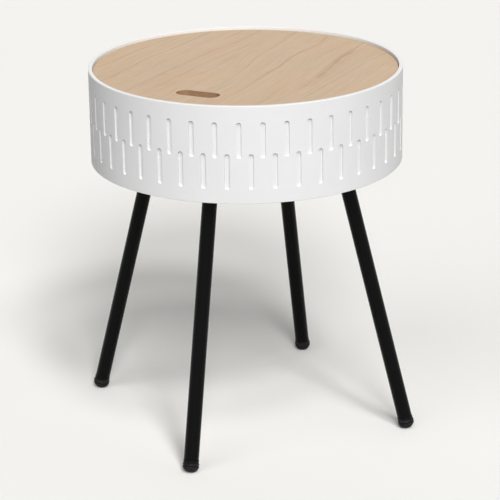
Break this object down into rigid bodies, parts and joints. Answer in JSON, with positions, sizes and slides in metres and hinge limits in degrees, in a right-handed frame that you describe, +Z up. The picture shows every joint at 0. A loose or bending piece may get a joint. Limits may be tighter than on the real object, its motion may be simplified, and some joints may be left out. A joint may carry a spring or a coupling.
{
  "type": "storage coffee table",
  "caption": "Round side table with a slotted white storage drum, a lift-off wood-veneered lid with a finger slot, and splayed black tube legs.",
  "frame": {"origin": "on the floor, under the middle of the drum", "axes": "+Z up along the drum's axis; the legs stand on the X and Y axes, and the lid's finger slot lies towards -Y, over the front leg"},
  "size_m": [0.432, 0.432, 0.45],
  "materials": {
    "white_paint": "fibreboard with smooth satin white paint",
    "wood_veneer": "pale wood veneer with a matt clear lacquer",
    "fibreboard": "bare brown fibreboard core",
    "black_lacquer": "satin black powder coat on steel tube",
    "black_plastic": "satin black moulded plastic",
    "zinc_steel": "bright zinc-plated steel"
  },
  "bodies": {
    "stand": {"drum_wall": "white_paint", "bottom_panel": "white_paint", "lid_rest_1": "white_paint", "lid_rest_2": "white_paint", "lid_rest_3": "white_paint", "lid_rest_4": "white_paint", "leg_plate_front": "zinc_steel", "leg_plate_right": "zinc_steel", "leg_plate_back": "zinc_steel", "leg_plate_left": "zinc_steel", "plate_screw_front_1": "zinc_steel", "plate_screw_front_2": "zinc_steel", "plate_screw_front_3": "zinc_steel", "plate_screw_front_4": "zinc_steel", "plate_screw_right_1": "zinc_steel", "plate_screw_right_2": "zinc_steel", "plate_screw_right_3": "zinc_steel", "plate_screw_right_4": "zinc_steel", "plate_screw_back_1": "zinc_steel", "plate_screw_back_2": "zinc_steel", "plate_screw_back_3": "zinc_steel", "plate_screw_back_4": "zinc_steel", "plate_screw_left_1": "zinc_steel", "plate_screw_left_2": "zinc_steel", "plate_screw_left_3": "zinc_steel", "plate_screw_left_4": "zinc_steel", "leg_tube_front": "black_lacquer", "leg_tube_right": "black_lacquer", "leg_tube_back": "black_lacquer", "leg_tube_left": "black_lacquer", "leg_insert_front": "zinc_steel", "leg_insert_right": "zinc_steel", "leg_insert_back": "zinc_steel", "leg_insert_left": "zinc_steel", "leg_stud_front": "zinc_steel", "leg_stud_right": "zinc_steel", "leg_stud_back": "zinc_steel", "leg_stud_left": "zinc_steel", "foot_cap_front": "black_plastic", "foot_cap_right": "black_plastic", "foot_cap_back": "black_plastic", "foot_cap_left": "black_plastic"},
    "lid": {"lid_veneer_top": "wood_veneer", "lid_core": "fibreboard", "lid_veneer_bottom": "wood_veneer"}
  },
  "joints": [
    {"name": "lid_lift", "type": "slide", "parent": "stand", "child": "lid", "axis": [0, 0, 1], "range_m": [0, 0.15]}
  ]
}
